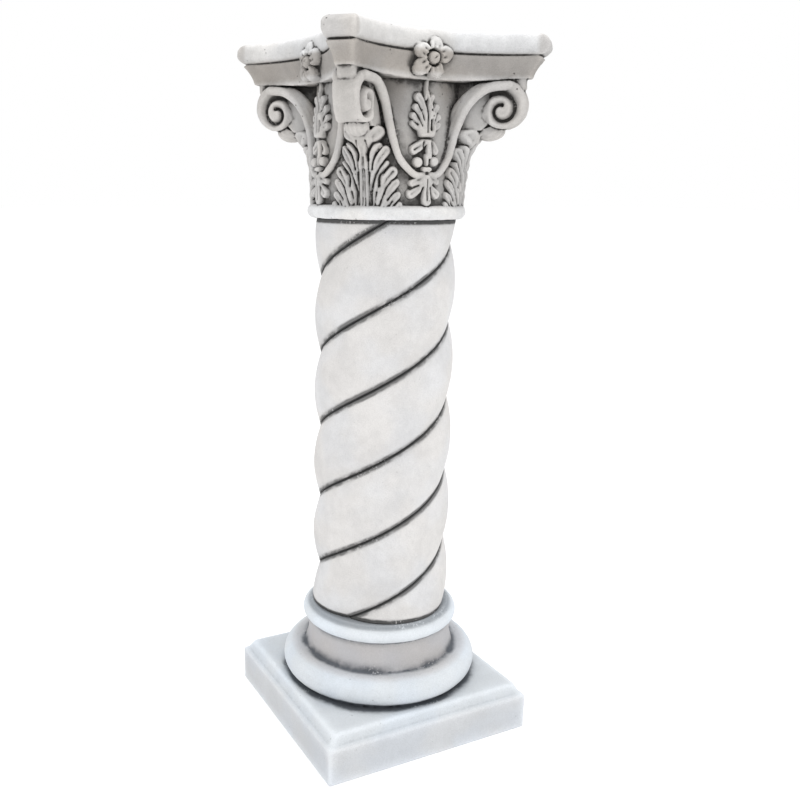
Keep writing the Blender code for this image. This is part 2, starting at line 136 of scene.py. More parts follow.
def carved_piece(name, field, origin, step, face_limit, low, high, grime_and_shade):
    """A mesh on the field's zero surface, with how deep each point sits in a crease.

    `hollow` looks a few millimetres around a point and `shelter` about ten. Both are near 0
    on a flat face, positive in a crease and negative on an edge. The last argument maps a place
    in mm to a level: above 0 it is a veil, a warm film on the base and painted shade with some
    dirt on the capital, and below 0 it is wash.
    """
    grid = openvdb.FloatGrid(step * 4)
    grid.copyFromArray(np.ascontiguousarray(field))
    points, triangles, quads = grid.convertToPolygons(0.0, 0.0)
    faces = np.concatenate([quads[:, [0, 1, 2]], quads[:, [0, 2, 3]], triangles])
    a, b, c = (points[faces[:, i]] for i in range(3))
    if np.einsum("ij,ij->i", np.cross(a, b), c).sum() < 0:
        faces = faces[:, ::-1]
    rough_mesh = bpy.data.meshes.new(name + "_rough")
    rough_mesh.from_pydata((points * step + origin) * 0.001, [], faces)
    piece = bpy.data.objects.new(name, rough_mesh)
    bpy.context.scene.collection.objects.link(piece)
    if len(faces) > face_limit:
        fewer = piece.modifiers.new("fewer faces", "DECIMATE")
        fewer.ratio = face_limit / len(faces)
        thinned = piece.evaluated_get(bpy.context.evaluated_depsgraph_get())
        piece.data = bpy.data.meshes.new_from_object(thinned)
        piece.modifiers.clear()
        bpy.data.meshes.remove(rough_mesh)
    mesh = piece.data
    mesh.name = name
    spots = np.empty(len(mesh.vertices) * 3, np.float32)
    mesh.vertices.foreach_get("co", spots)
    spots = np.clip(spots.reshape(-1, 3), low, high)
    mesh.vertices.foreach_set("co", spots.ravel())
    filled = np.clip(0.5 - field / step, 0, 1).astype(np.float32)
    places = (spots * 1000 - origin) / step
    levels = {"grime_and_shade": grime_and_shade(*(spots.T * 1000))}
    for label, reach, skip in (("hollow", 2.0, 1), ("shelter", 7.0, 2)):
        radius = max(round(reach / step / skip), 1)
        levels[label] = 2 * sampled(blurred(filled[::skip, ::skip, ::skip], radius), places / skip) - 1
    for label, level in levels.items():
        stored = mesh.attributes.new(label, "FLOAT", "POINT")
        stored.data.foreach_set("value", level.astype(np.float32))
    mesh.shade_smooth()
    mesh.update()
    return piece


def add_node(tree, kind, inputs, **settings):
    """A node whose inputs, by name or place, are set to a value or joined to another's output."""
    made = tree.nodes.new(kind)
    for key, value in settings.items():
        setattr(made, key, value)
    for key, value in inputs.items():
        if isinstance(value, bpy.types.NodeSocket):
            tree.links.new(value, made.inputs[key])
        else:
            made.inputs[key].default_value = value
    return made


def maths(tree, operation, *values):
    return add_node(tree, "ShaderNodeMath", dict(enumerate(values)), operation=operation).outputs[0]


def between(tree, value, low, high, to_low=0.0, to_high=1.0):
    """Eases a value from one span to another, and holds it at both ends."""
    inputs = {"Value": value, "From Min": low, "From Max": high, "To Min": to_low, "To Max": to_high}
    return add_node(tree, "ShaderNodeMapRange", inputs, interpolation_type="SMOOTHSTEP").outputs[0]


def noise(tree, place, scale, detail=2.0, roughness=0.5):
    inputs = {"Vector": place, "Scale": scale, "Detail": detail, "Roughness": roughness}
    return add_node(tree, "ShaderNodeTexNoise", inputs).outputs["Fac"]


def blend_colours(tree, share, first, second, how="MIX"):
    inputs = {"Factor": share, 6: first, 7: second}
    return add_node(tree, "ShaderNodeMix", inputs, data_type="RGBA", blend_type=how).outputs[2]


def aged_and_shaded_stone():
    """Shared finish and painted shade: pale cast stone with a dark wash in its creases, painted shade in
    its deeper recesses, worn edges and pinholes.
    """
    tree = bpy.data.node_groups.new("aged and shaded cast stone", "ShaderNodeTree")
    colours = {"Stone": (0.6, 0.6, 0.58, 1.0), "Wash": (0.05, 0.05, 0.05, 1.0),
               "Veil": (0.47, 0.43, 0.39, 1.0)}
    for name, value in colours.items():
        socket = tree.interface.new_socket(name, in_out="INPUT", socket_type="NodeSocketColor")
        socket.default_value = value
    amounts = {"Hollow": 0.0, "Shelter": 0.0, "Grime And Shade": 0.0, "Wash Amount": 0.5, "Recess Wash And Shade": 0.5,
               "Spread": 0.0, "Mottle": 0.5, "Pits": 0.5, "Unrest": 1.0}
    for name, value in amounts.items():
        socket = tree.interface.new_socket(name, in_out="INPUT", socket_type="NodeSocketFloat")
        socket.default_value = value
    tree.interface.new_socket("Base Color", in_out="OUTPUT", socket_type="NodeSocketColor")
    tree.interface.new_socket("Roughness", in_out="OUTPUT", socket_type="NodeSocketFloat")
    tree.interface.new_socket("Height", in_out="OUTPUT", socket_type="NodeSocketFloat")
    given = tree.nodes.new("NodeGroupInput").outputs
    place = tree.nodes.new("ShaderNodeTexCoord").outputs["Object"]
    clouds = noise(tree, place, 22.0, 3.0)
    smears = noise(tree, place, 95.0, 4.0, 0.6)
    grains = noise(tree, place, 900.0, 3.0, 0.7)
    unrest = maths(tree, "MULTIPLY", maths(tree, "SUBTRACT", smears, 0.5), given["Unrest"])
    sway = maths(tree, "MULTIPLY_ADD", maths(tree, "SUBTRACT", clouds, 0.5), 3.0, 1.0)
    crease = maths(tree, "MULTIPLY", given["Hollow"], maths(tree, "MULTIPLY_ADD", unrest, 1.6, 1.0))
    crease = maths(tree, "ADD", crease, given["Spread"])
    lee = maths(tree, "MULTIPLY", given["Shelter"], maths(tree, "MULTIPLY_ADD", unrest, 2.4, sway))
    lee = maths(tree, "ADD", lee, given["Spread"])
    deep = between(tree, crease, 0.0, 0.28)
    # A broader darkening where the shelter is high: painted shade in recesses, with some wash.
    film_and_shade = between(tree, lee, 0.0, 0.36)
    wash = maths(tree, "MAXIMUM", deep, maths(tree, "MULTIPLY", film_and_shade, given["Recess Wash And Shade"]))
    wash = maths(tree, "MAXIMUM", wash, maths(tree, "MULTIPLY", given["Grime And Shade"], -1.0))
    crumbs = between(tree, noise(tree, place, 430.0, 2.0), 0.56, 0.66)
    crumbs = maths(tree, "MULTIPLY", crumbs, between(tree, noise(tree, place, 28.0), 0.48, 0.6))
    crumbs = maths(tree, "MULTIPLY", crumbs, between(tree, lee, 0.5, 0.35))
    cover = maths(tree, "MULTIPLY_ADD", crumbs, -0.6, given["Wash Amount"])
    wash = maths(tree, "MULTIPLY", wash, cover)
    patches = maths(tree, "MULTIPLY_ADD", clouds, 0.6, maths(tree, "MULTIPLY", smears, 0.4))
    lightness = between(tree, patches, 0.3, 0.7, 0.82, 1.06)
    lightness = maths(tree, "MULTIPLY_ADD", maths(tree, "SUBTRACT", lightness, 1.0), given["Mottle"], 1.0)
    wear = maths(tree, "MULTIPLY", between(tree, given["Shelter"], 0.15, -0.4, 0.89, 1.08),
                 between(tree, given["Hollow"], 0.0, -0.35, 1.0, 1.13))
    lightness = maths(tree, "MULTIPLY", lightness, wear)
    lightness = maths(tree, "MULTIPLY", lightness, between(tree, grains, 0.25, 0.7, 0.88, 1.05))
    cells = add_node(tree, "ShaderNodeTexVoronoi", {"Vector": place, "Scale": 130.0})
    rarity = between(tree, noise(tree, place, 34.0), 0.46, 0.68)
    size = maths(tree, "MULTIPLY", rarity, 0.16)
    pinhole = between(tree, cells.outputs["Distance"], size, maths(tree, "MULTIPLY", size, 0.45))
    pinhole = maths(tree, "MULTIPLY", pinhole, given["Pits"])
    pinhole = maths(tree, "MULTIPLY", pinhole, between(tree, size, 0.01, 0.06))
    shade = {"Value": lightness, "Color": given["Stone"]}
    tinted = add_node(tree, "ShaderNodeHueSaturation", shade).outputs[0]
    warmth = between(tree, noise(tree, place, 13.0), 0.4, 0.6)
    cool_tone = (0.985, 0.99, 1.0, 1.0)
    warm_tone = (1.0, 0.985, 0.968, 1.0)
    tones = blend_colours(tree, warmth, cool_tone, warm_tone)
    toned = blend_colours(tree, 1.0, tinted, tones, "MULTIPLY")
    # Above 0 the level veils the stone: a warm film on the base, painted shade with some dirt on the
    # capital.
    dirt_and_shade = maths(tree, "MAXIMUM", given["Grime And Shade"], 0.0)
    veiled = blend_colours(tree, dirt_and_shade, toned, given["Veil"], "MULTIPLY")
    darkened = blend_colours(tree, wash, veiled, given["Wash"])
    pitted = blend_colours(tree, maths(tree, "MULTIPLY", pinhole, 0.7), darkened, given["Wash"])
    relief = maths(tree, "MULTIPLY_ADD", grains, 0.25, maths(tree, "MULTIPLY", smears, 0.5))
    relief = maths(tree, "SUBTRACT", relief, pinhole)
    shine = between(tree, smears, 0.3, 0.7, 0.72, 0.92)
    outputs = {"Base Color": pitted, "Roughness": shine, "Height": relief}
    add_node(tree, "NodeGroupOutput", outputs)
    return tree


def stone_material(name, colours, amounts):
    """A stone with its own colours and amounts for the shared finish and painted shade."""
    material = bpy.data.materials.new(name)
    material.use_nodes = True
    tree = material.node_tree
    shader = tree.nodes["Principled BSDF"]
    finish_and_shade = add_node(tree, "ShaderNodeGroup", {}, node_tree=stone_finish_and_shade)
    for label, colour in colours.items():
        finish_and_shade.inputs[label].default_value = (*colour, 1.0)
    for label, amount in amounts.items():
        finish_and_shade.inputs[label].default_value = amount
    for label, socket in (("hollow", "Hollow"), ("shelter", "Shelter"), ("grime_and_shade", "Grime And Shade")):
        read = add_node(tree, "ShaderNodeAttribute", {}, attribute_name=label)
        tree.links.new(read.outputs["Fac"], finish_and_shade.inputs[socket])
    bump = add_node(tree, "ShaderNodeBump", {"Height": finish_and_shade.outputs["Height"], "Distance": 0.001})
    bump.inputs["Strength"].default_value = 0.9
    tree.links.new(finish_and_shade.outputs["Base Color"], shader.inputs["Base Color"])
    tree.links.new(finish_and_shade.outputs["Roughness"], shader.inputs["Roughness"])
    tree.links.new(bump.outputs["Normal"], shader.inputs["Normal"])
    shader.inputs["Specular IOR Level"].default_value = 0.35
    return material


stone_finish_and_shade = aged_and_shaded_stone()

base_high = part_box("base")[1] * 1000
base_step = 1.3
plinth_half = base_high.x
plinth_height = 60.0
plinth_corner = 2.2
roll_reach = 125.8
roll_tube = 18.3
ring_reach = 99.9
ring_tube = 8.5
ring_z = 143.1
collar_reach = 88.8

x, y, z = quarter_grid(plinth_half, 0.0, base_high.z, base_step)
from_axis = np.hypot(x, y)
ledge_heights = (-9, 0, 44.5, 46.3, 47.8, 50.0, 58.0, 59.5, 60.5)
inset = np.interp(z, ledge_heights, (0, 0, 0, 1.6, 4.1, 5.7, 9.6, 11.5, 14.0))
corner = plinth_corner + 0.5 * inset
beyond_x = np.maximum(x - (plinth_half - inset - corner), 0)
beyond_y = np.maximum(-y - (plinth_half - inset - corner), 0)
inside = np.maximum(x, -y) - (plinth_half - inset)
plinth = np.where(inside > -corner, np.hypot(beyond_x, beyond_y) - corner, inside)
from_half_height = np.abs(z - 0.5 * plinth_height) - 0.5 * plinth_height
plinth = round_max(plinth.astype(np.float32), from_half_height, 1.2)
roll = moulding(from_axis, z, roll_reach, roll_tube, plinth_height + roll_tube)
neck = np.interp(z, (90, 97, 103, 110, 120, 136), (99.0, 97.2, 94.9, 93.3, 92.2, 91.8))
neck = np.maximum(from_axis - neck, np.abs(z - 118) - 28)
ring = moulding(from_axis, z, ring_reach, ring_tube, ring_z)
collar = np.interp(z, (143, 151.6, base_high.z), (92.0, 91.4, collar_reach))
collar = np.maximum(from_axis - collar, z - base_high.z)
turned = round_min(round_min(roll, neck, 1.6), round_min(ring, collar, 1.0), 1.6)
turned = np.maximum(turned, z - base_high.z)
field = four_quarters(np.minimum(plinth, turned).astype(np.float32))
# The creases fill a little, as caked dirt would; this changes the shape only.
dirt_and_shade = np.clip(2 * blurred(np.clip(0.5 - field / base_step, 0, 1), 2) - 1.05, 0, 0.6)
field -= 1.0 * dirt_and_shade * (0.4 + rough_field(field.shape, 2.2, 11))
wear = 0.28 + 0.16 * rough_field(field.shape, 6, 12) + 0.12 * rough_field(field.shape, 2.5, 13)
field += wear * np.clip(z / 4, 0, 1)
reach = (x.shape[0] - 0.5) * base_step
base_origin = np.array([-reach, -reach, z[0, 0, 0]])


def base_grime(x, y, z):
    """A warm film on neck and plinth sides, and dark wash on the ring's top under the shaft."""
    film_and_shade = np.interp(z, (45, 48, 94, 98, 132, 136), (0.13, 0, 0, 0.36, 0.36, 0))
    near_shaft = np.clip((94.6 - np.hypot(x, y)) / 4.6, 0, 1)
    return film_and_shade - 0.62 * near_shaft * np.clip((z - 146) / 3, 0, 1)


base_faces = 150_000
base = carved_piece(
    "base_casting", field, base_origin, base_step, base_faces, *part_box("base"), base_grime)
base.data.materials.append(stone_material(
    "base stone",
    {"Stone": (0.605, 0.645, 0.685), "Wash": (0.046, 0.056, 0.07), "Veil": (0.66, 0.47, 0.37)},
    {"Wash Amount": 0.92, "Recess Wash And Shade": 0.95, "Spread": -0.035, "Mottle": 0.35, "Pits": 0.5,
     "Unrest": 0.35}))
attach(base, "root")
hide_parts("base")


# Twisted shaft
# The shaft is one casting of three round lobes that wind up to the right and meet in
# sharp grooves. The mould left crumbs along the grooves, and the wash is darkest there,
# with painted shade in a wider band beside each groove.

def shaft_tree():
    """Geometry nodes: a fine cylinder whose points are pushed out to the lobes and then twisted."""
    tree = bpy.data.node_groups.new("twisted shaft", "GeometryNodeTree")
    numbers = {"Foot Radius": 0.0876, "Top Radius": 0.0833, "Foot Height": 0.1565, "Length": 0.4819,
               "Pitch": 0.275, "Start Angle": 0.1276, "Groove Share": 0.105, "Crumb Size": 0.0012}
    for name, value in numbers.items():
        tree.interface.new_socket(name, in_out="INPUT", socket_type="NodeSocketFloat").default_value = value
    counts = {"Lobes": 3, "Columns": 192, "Levels": 380}
    for name, value in counts.items():
        tree.interface.new_socket(name, in_out="INPUT", socket_type="NodeSocketInt").default_value = value
    tree.interface.new_socket("Material", in_out="INPUT", socket_type="NodeSocketMaterial")
    tree.interface.new_socket("Geometry", in_out="OUTPUT", socket_type="NodeSocketGeometry")
    given = tree.nodes.new("NodeGroupInput").outputs
    tube = add_node(tree, "GeometryNodeMeshCylinder", {
        "Vertices": given["Columns"], "Side Segments": given["Levels"], "Radius": 1.0, "Depth": 1.0})
    position = tree.nodes.new("GeometryNodeInputPosition").outputs[0]
    where = add_node(tree, "ShaderNodeSeparateXYZ", {0: position})
    share = maths(tree, "ADD", where.outputs["Z"], 0.5)
    turn = maths(tree, "ARCTAN2", where.outputs["Y"], where.outputs["X"])
    sector = maths(tree, "DIVIDE", 2 * math.pi, given["Lobes"])
    half_sector = maths(tree, "MULTIPLY", sector, 0.5)
    across = maths(tree, "WRAP", turn, half_sector, maths(tree, "MULTIPLY", half_sector, -1.0))
    crest = maths(tree, "SUBTRACT", turn, across)
    part = maths(tree, "DIVIDE", across, half_sector)
    cube = maths(tree, "MULTIPLY", maths(tree, "MULTIPLY", part, part), part)
    crowded = maths(tree, "SUBTRACT", maths(tree, "MULTIPLY", part, 1.5),
                    maths(tree, "MULTIPLY", cube, 0.5))
    across = maths(tree, "MULTIPLY", crowded, half_sector)
    span = maths(tree, "SUBTRACT", given["Top Radius"], given["Foot Radius"])
    radius = maths(tree, "MULTIPLY_ADD", span, share, given["Foot Radius"])
    offset = maths(tree, "MULTIPLY", maths(tree, "MULTIPLY", radius, given["Groove Share"]), 1.65)
    lobe = maths(tree, "SUBTRACT", radius, offset)
    aside = maths(tree, "MULTIPLY", offset, maths(tree, "SINE", across))
    root = maths(tree, "SQRT", maths(tree, "SUBTRACT", maths(tree, "MULTIPLY", lobe, lobe),
                                     maths(tree, "MULTIPLY", aside, aside)))
    lobed = maths(tree, "MULTIPLY_ADD", offset, maths(tree, "COSINE", across), root)
    to_groove = maths(tree, "SUBTRACT", half_sector, maths(tree, "ABSOLUTE", across))
    arc = maths(tree, "MULTIPLY", to_groove, radius)
    height = maths(tree, "MULTIPLY_ADD", share, given["Length"], given["Foot Height"])
    wind = maths(tree, "MULTIPLY_ADD", maths(tree, "DIVIDE", height, given["Pitch"]), 2 * math.pi,
                 maths(tree, "ADD", given["Start Angle"], half_sector))
    angle = maths(tree, "ADD", maths(tree, "ADD", crest, across), wind)
    smooth_spot = add_node(tree, "ShaderNodeCombineXYZ", {
        "X": maths(tree, "MULTIPLY", lobed, maths(tree, "COSINE", angle)),
        "Y": maths(tree, "MULTIPLY", lobed, maths(tree, "SINE", angle)), "Z": height}).outputs[0]
    lumps = maths(tree, "SUBTRACT", noise(tree, smooth_spot, 300.0, 3.0, 0.6), 0.5)
    waves = maths(tree, "SUBTRACT", noise(tree, smooth_spot, 45.0), 0.5)
    near_groove = between(tree, arc, 0.0075, 0.0008)
    v_cut = between(tree, arc, 0.0028, 0.0)
    pushed = maths(tree, "MULTIPLY", maths(tree, "MULTIPLY", lumps, near_groove), given["Crumb Size"])
    pushed = maths(tree, "MULTIPLY_ADD", v_cut, -0.0026, maths(tree, "MULTIPLY", pushed, 2.0))
    pushed = maths(tree, "MULTIPLY_ADD", waves, 0.0008, maths(tree, "SUBTRACT", pushed, 0.0004))
    rough = maths(tree, "ADD", lobed, pushed)
    spot = add_node(tree, "ShaderNodeCombineXYZ", {
        "X": maths(tree, "MULTIPLY", rough, maths(tree, "COSINE", angle)),
        "Y": maths(tree, "MULTIPLY", rough, maths(tree, "SINE", angle)), "Z": height}).outputs[0]
    from_top = maths(tree, "SUBTRACT", 1.0, share)
    from_end = maths(tree, "MULTIPLY", given["Length"], maths(tree, "MINIMUM", share, from_top))
    end_dirt = between(tree, from_end, 0.0075, 0.001, -0.1, 0.45)
    hollow = maths(tree, "MAXIMUM", between(tree, arc, 0.0072, 0.0012, -0.1, 0.5), end_dirt)
    # The wider band beside each groove is painted shade, with some wash.
    shelter = maths(tree, "MAXIMUM", between(tree, arc, 0.020, 0.0, -0.1, 0.43), end_dirt)
    geometry = tube.outputs["Mesh"]
    for label, value in (("hollow", hollow), ("shelter", shelter)):
        stored = add_node(tree, "GeometryNodeStoreNamedAttribute", {
            "Geometry": geometry, "Name": label, "Value": value}, data_type="FLOAT", domain="POINT")
        geometry = stored.outputs[0]
    shaped = add_node(tree, "GeometryNodeSetPosition", {"Geometry": geometry, "Position": spot})
    smoothed = add_node(tree, "GeometryNodeSetShadeSmooth", {"Geometry": shaped.outputs[0]})
    realized = add_node(tree, "GeometryNodeRealizeInstances", {"Geometry": smoothed.outputs[0]})
    stony = add_node(tree, "GeometryNodeSetMaterial", {
        "Geometry": realized.outputs[0], "Material": given["Material"]})
    add_node(tree, "NodeGroupOutput", {"Geometry": stony.outputs[0]})
    return tree


def grown_mesh(name, tree, values):
    """The mesh that a geometry nodes tree makes from the values given for its inputs."""
    piece = bpy.data.objects.new(name, bpy.data.meshes.new(name + "_seed"))
    bpy.context.scene.collection.objects.link(piece)
    grower = piece.modifiers.new("grow", "NODES")
    grower.node_group = tree
    for item in tree.interface.items_tree:
        if item.item_type == "SOCKET" and item.in_out == "INPUT" and item.name in values:
            grower[item.identifier] = values[item.name]
    grown = piece.evaluated_get(bpy.context.evaluated_depsgraph_get())
    seed = piece.data
    piece.data = bpy.data.meshes.new_from_object(grown)
    piece.modifiers.clear()
    piece.data.name = name
    bpy.data.meshes.remove(seed)
    return piece


shaft_low, shaft_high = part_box("twisted_shaft")
shaft_stone = stone_material(
    "shaft stone",
    {"Stone": (0.655, 0.65, 0.65), "Wash": (0.045, 0.045, 0.045), "Veil": (0.47, 0.43, 0.39)},
    {"Wash Amount": 0.95, "Recess Wash And Shade": 0.82, "Spread": 0.0, "Mottle": 0.6, "Pits": 0.2, "Unrest": 1.0})
shaft = grown_mesh("shaft_casting", shaft_tree(), {
    "Foot Radius": 0.0876, "Top Radius": 0.0833, "Foot Height": shaft_low.z,
    "Length": shaft_high.z - shaft_low.z, "Pitch": 0.275, "Start Angle": math.radians(7.3),
    "Groove Share": 0.105, "Crumb Size": 0.0012, "Lobes": 3, "Columns": 192, "Levels": 380,
    "Material": shaft_stone})
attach(shaft, "root")
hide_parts("twisted_shaft")


# Capital
# The head of the column is one casting too, taken from a carved model: a ring and a plain
# bell, a leaf and a scroll under each horn of the hollow-sided top slab, and on each side
# a flower, two ribbons and a hanging garland. Its wash is warmer and lies much thicker,
# and painted shade darkens the bell and the slab's lower band, most beside the ribbons.

def from_stroke(u, v, points):
    """Distance from a bent line drawn through points, and the share of the way along it."""
    best = np.full(np.broadcast(u, v).shape, 1e9, np.float32)
    along = np.zeros_like(best)
    lengths = [math.dist(a, b) for a, b in zip(points, points[1:])]
    done = 0.0
    for (au, av), (bu, bv), length in zip(points, points[1:], lengths):
        share = np.clip(((u - au) * (bu - au) + (v - av) * (bv - av)) / length ** 2, 0, 1)
        gap = np.hypot(u - au - share * (bu - au), v - av - share * (bv - av))
        nearer = gap < best
        best = np.where(nearer, gap, best)
        along = np.where(nearer, (done + share * length) / sum(lengths), along)
        done += length
    return best, along


def lobe(u, v, points, half, rise, hollow=0.0, root=0.6):
    """Height of a round-ended lobe and how surely a point is on it, narrower at its root."""
    gap, along = from_stroke(u, v, points)
    width = half * (root + (1 - root) * np.clip(along / 0.75, 0, 1))
    across = np.clip(gap / width, 0, 1)
    pillow = rise * np.sqrt(1 - across ** 3)
    dish = 1.35 * hollow * np.exp(-((across / 0.46) ** 2)) * np.clip(along * 3 - 0.6, 0, 1)
    return pillow - np.minimum(dish, pillow), np.clip((width - gap) / 1.1, 0, 1)


def groove(u, v, points, half, depth):
    """Depth of a cut along a line, with rounded flanks."""
    gap, _ = from_stroke(u, v, points)
    return depth * np.exp(-((gap / half) ** 2))


def leaf_relief(u, v):
    """Height of the acanthus leaf over the bell, by arc from the corner and height up the bell."""
    across = np.abs(u)
    ridge = np.interp(v, (-12, 4.6, 19, 38, 53, 61, 71.5, 79), (3.4, 3.9, 6, 8.9, 12.6, 17.9, 25.5, 32))
    spread = 38 - 0.2 * np.clip(v, 0, 80)
    body = 3.0 + (ridge - 3.0) * np.clip(1 - (across / spread) ** 2, 0, 1) ** 0.8
    lobes = (
        (((3, 40), (5, 56), (10.5, 69), (15.5, 75.5)), 6.2, 3.4, 2.8),
        (((6, 36), (8, 48), (10.5, 55.5), (15.5, 61.5)), 3.8, 3.0, 1.2),
        (((8, 24), (12, 37), (16.5, 48.5), (22.5, 57)), 5.2, 3.2, 2.2),
        (((12, 16), (15.5, 29), (18.5, 37), (23, 43.5)), 3.8, 3.0, 1.0),
        (((14, 4), (19, 17), (24, 27.5), (29.5, 35)), 6.2, 3.4, 2.4),
        (((17, -2), (23, 9), (28.5, 18.5), (33, 24)), 5.0, 3.0, 1.6),
        (((19, -8), (28, 3), (35, 11)), 4.6, 2.8, 1.4),
        (((22, -12), (24, 0), (26.5, 7.5)), 4.0, 2.6, 0.8),
        (((30, -12), (35, -3), (38, 1)), 3.6, 2.4, 0.6),
    )
    fills = (
        (((0, -12), (0, 74)), 8.0),
        (((5, -12), (7, 20), (6, 44), (3, 74)), 7.5),
        (((13, -12), (15, 8), (13, 26)), 9.0),
    )
    relief = np.zeros_like(u)
    for points, half in fills:
        gap, _ = from_stroke(across, v, points)
        relief = np.maximum(relief, (body + 1.2) * np.clip((half - gap) / 1.2, 0, 1))
    for points, half, rise, hollow in lobes:
        height, on = lobe(across, v, points, half, rise, hollow)
        relief = np.maximum(relief, body * on + height)
    cuts = (
        (((17, 66.5), (10, 63), (7.5, 59.5), (4.5, 53), (5, 47)), 1.5, 7.0),
        (((18.5, 63), (13, 55), (9.5, 45), (9, 37)), 1.0, 4.0),
        (((27, 52), (24.5, 49.5), (17.5, 41), (12.5, 32), (10, 24), (8, 14), (8.5, -8)), 1.3, 5.0),
        (((27, 42), (20, 35), (16.5, 31), (15.5, 26.5), (16, 20.5)), 1.6, 6.0),
        (((36, 30), (28.5, 25.5), (23, 18), (21, 12)), 1.2, 4.5),
        (((39, 17), (30, 12.5), (25, 6)), 1.2, 4.0),
        (((4.5, 66), (6, 28), (5.5, -8)), 1.1, 3.4),
        (((1, 50), (1, 20), (2, -8)), 0.8, 2.4),
        (((14, 14), (12, 4), (12, -10)), 1.1, 3.0),
        (((30, 4), (22, -6)), 1.1, 3.0),
        (((20, 10), (17, 0), (17, -10)), 1.0, 2.6),
    )
    for points, half, depth in cuts:
        relief = relief - groove(across, v, points, half, depth) * np.clip(relief / 3, 0, 1)
    return np.maximum(relief, 0) * np.clip((83 - v) / 1.5, 0, 1)


def garland_relief(u, v):
    """Height of the garland over the bell, by arc from the middle of a side and height."""
    relief = np.zeros_like(u)
    lobes = (
        (((0, 142), (-1, 124), (-1.5, 110)), 2.6, 5.0, 0.0, 1.0),
        (((-1, 118), (3.5, 106), (7, 99), (8.5, 92)), 1.9, 6.4, 0.0, 1.0),
        (((-3, 92), (-4.5, 99), (-8, 107), (-11, 111.5)), 5.0, 7.2, 1.8, 0.75),
        (((3, 94), (4, 107), (6.5, 112)), 3.8, 6.2, 1.2, 0.75),
        (((-4, 88), (-8, 94), (-13, 101)), 4.4, 7.0, 1.6, 0.75),
        (((5, 90), (9, 96), (12.5, 101.5)), 4.2, 6.6, 1.4, 0.75),
        (((-4, 82), (-9, 87), (-16, 92.5)), 4.2, 7.0, 1.6, 0.75),
        (((5, 82), (9, 87), (15, 92)), 4.0, 6.8, 1.4, 0.75),
        (((-3, 76), (-10, 80.5), (-16, 85)), 4.2, 6.8, 1.4, 0.75),
        (((4, 77), (9, 80), (15, 83.5)), 4.0, 6.6, 1.2, 0.75),
        (((-5, 93), (-5, 80), (-2.5, 74.5)), 7.5, 8.6, 0.0, 0.9),
        (((4.5, 93), (4.5, 80), (2.5, 74.5)), 7.5, 8.8, 0.0, 0.9),
        (((0, 70), (-7, 62.5), (-14.5, 58)), 5.6, 7.4, 2.6, 0.75),
        (((1, 70), (7, 63), (11, 57)), 5.0, 7.2, 2.2, 0.75),
        (((1, 71), (2.5, 62), (3, 52)), 3.8, 7.8, 0.8, 0.8),
        (((-10.8, 45.4), (-10.8, 45)), 5.8, 9.0, 0.0, 1.0),
        (((9.3, 46.4), (9.3, 46)), 5.6, 8.8, 0.0, 1.0),
        (((0, 52), (0, 43)), 2.6, 6.4, 0.0, 1.0),
        (((-3.2, 37.8), (2.4, 37.8)), 3.4, 8.2, 0.0, 1.0),
        (((-1.5, 31), (-8, 27.5), (-16.5, 23.5)), 4.2, 6.6, 1.4, 0.7),
        (((-1.5, 28), (-10, 17.5), (-17, 12.5)), 6.0, 7.4, 2.2, 0.7),
        (((2, 31), (8, 27.5), (14.5, 25)), 4.0, 6.4, 1.2, 0.7),
        (((2, 28), (7, 18), (13, 12)), 5.8, 7.4, 2.0, 0.7),
        (((0.5, 30), (0.5, 16), (1, 5)), 6.6, 8.0, 1.4, 0.65),
    )
    for points, half, rise, hollow, root in lobes:
        height, on = lobe(u, v, points, half, rise, hollow, root)
        relief = np.maximum(relief, height * on)
    cuts = (
        (((4.8, 88), (4.5, 79)), 1.8, 6.5),
        (((-14, 70), (14, 70)), 1.4, 6.0),
        (((-19, 16.5), (-9, 21.5)), 1.0, 4.0),
        (((15.5, 17.5), (8, 22)), 1.0, 3.6),
        (((-7.5, 5), (-4, 19)), 1.1, 4.0),
        (((7, 7), (4.5, 19)), 1.1, 4.0),
        (((0.5, 28), (1, 6)), 0.8, 2.0),
        (((-3.5, 67), (-4, 54)), 1.2, 4.5),
        (((6.4, 67), (7.2, 52)), 1.1, 4.0),
        (((-16, 98), (-10, 90), (-7, 82)), 0.9, 3.0),
        (((-12, 106), (-7.5, 98), (-5, 88)), 0.9, 3.0),
        (((-19, 89), (-11, 83.5)), 0.9, 3.0),
        (((14, 97), (9.5, 90), (8, 84)), 0.9, 3.0),
        (((10, 105), (5.5, 98)), 0.9, 3.0),
        (((0, 97), (-0.5, 76)), 1.0, 3.0),
        (((-15.5, 35.5), (-4, 33.6), (4, 33.6), (15.5, 35.5)), 1.0, 5.0),
    )
    for points, half, depth in cuts:
        relief = relief - groove(u, v, points, half, depth) * np.clip(relief / 3, 0, 1)
    return np.maximum(relief, 0)


